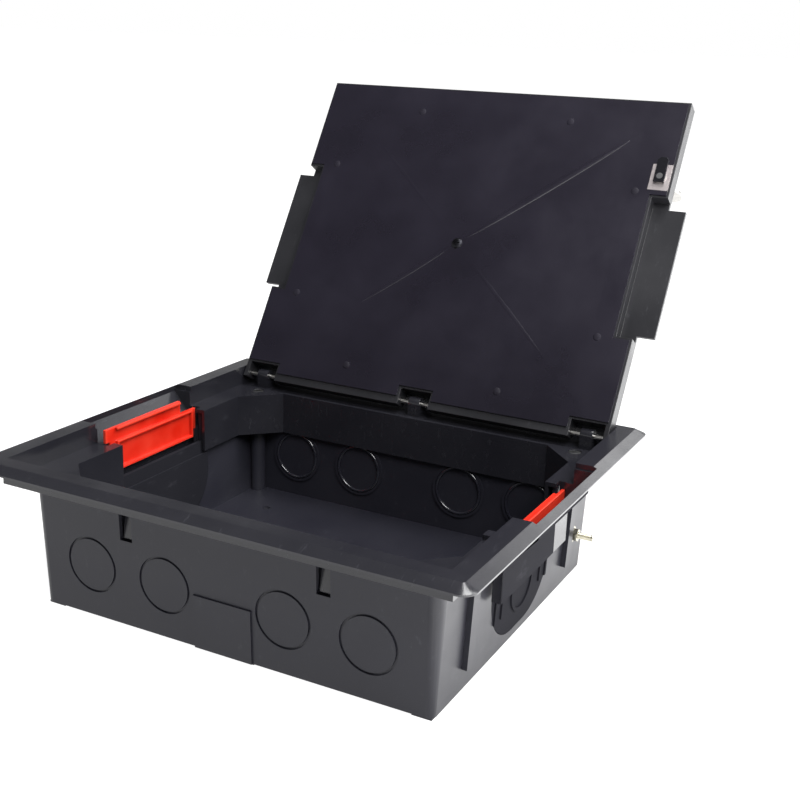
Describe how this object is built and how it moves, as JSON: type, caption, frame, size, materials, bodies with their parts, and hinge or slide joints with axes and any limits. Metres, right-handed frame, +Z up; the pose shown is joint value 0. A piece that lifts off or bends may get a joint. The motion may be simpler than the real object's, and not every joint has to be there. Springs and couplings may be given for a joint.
{
  "type": "floor socket box",
  "caption": "Square in-floor service box with an open hinged lid, trim frame, orange cable shutters, knock-outs and side entries.",
  "frame": {"origin": "middle of the box's footprint, at the underside of its feet", "axes": "+X along the hinge line towards the lock side, +Y towards the hinge, +Z up"},
  "size_m": [0.3, 0.3676, 0.2774],
  "materials": {
    "box_moulding": "moulded, fine grain",
    "frame_moulding": "moulded, satin",
    "entry_moulding": "moulded, matte",
    "shutter_moulding": "moulded orange",
    "lid_moulding": "moulded, satin",
    "plate_steel": "dark satin coating",
    "zinc_steel": "zinc plated",
    "pin_steel": "ground",
    "lock_zinc": "dull chromed zinc",
    "key_steel": "nickel plated",
    "earth_brass": "plated brass"
  },
  "bodies": {
    "housing": {"base_box": "box_moulding", "left_entry_plate": "entry_moulding", "right_entry_plate": "entry_moulding", "rim_frame": "frame_moulding", "frame_screws": "zinc_steel", "earth_stud": "earth_brass", "earth_washer": "earth_brass", "earth_nut": "earth_brass"},
    "lid": {"lid_tray": "lid_moulding", "lid_stiffener": "plate_steel", "stiffener_rivets": "plate_steel", "centre_screw": "zinc_steel", "hinge_pin_left": "pin_steel", "hinge_pin_middle": "pin_steel", "hinge_pin_right": "pin_steel", "lock_case": "lock_zinc"},
    "lock": {"lock_plug": "lock_zinc", "lock_cam": "zinc_steel", "cam_screw": "zinc_steel", "key": "key_steel"},
    "left_gate": {"left_shutter": "shutter_moulding"},
    "right_gate": {"right_shutter": "shutter_moulding"}
  },
  "joints": [
    {"name": "lid_hinge", "type": "hinge", "parent": "housing", "child": "lid", "pos_m": [0, 0.1112, 0.0827], "axis": [1, 0, 0], "range_deg": [0, 122]},
    {"name": "key_turn", "type": "hinge", "parent": "lid", "child": "lock", "pos_m": [0.124, 0.20186, 0.22911], "axis": [0, 0.848, -0.5299], "range_deg": [0, 90]},
    {"name": "left_shutter_slide", "type": "slide", "parent": "housing", "child": "left_gate", "axis": [0, 0, 1], "range_m": [-0.013, 0]},
    {"name": "right_shutter_slide", "type": "slide", "parent": "housing", "child": "right_gate", "axis": [0, 0, 1], "range_m": [0, 0.013]}
  ]
}
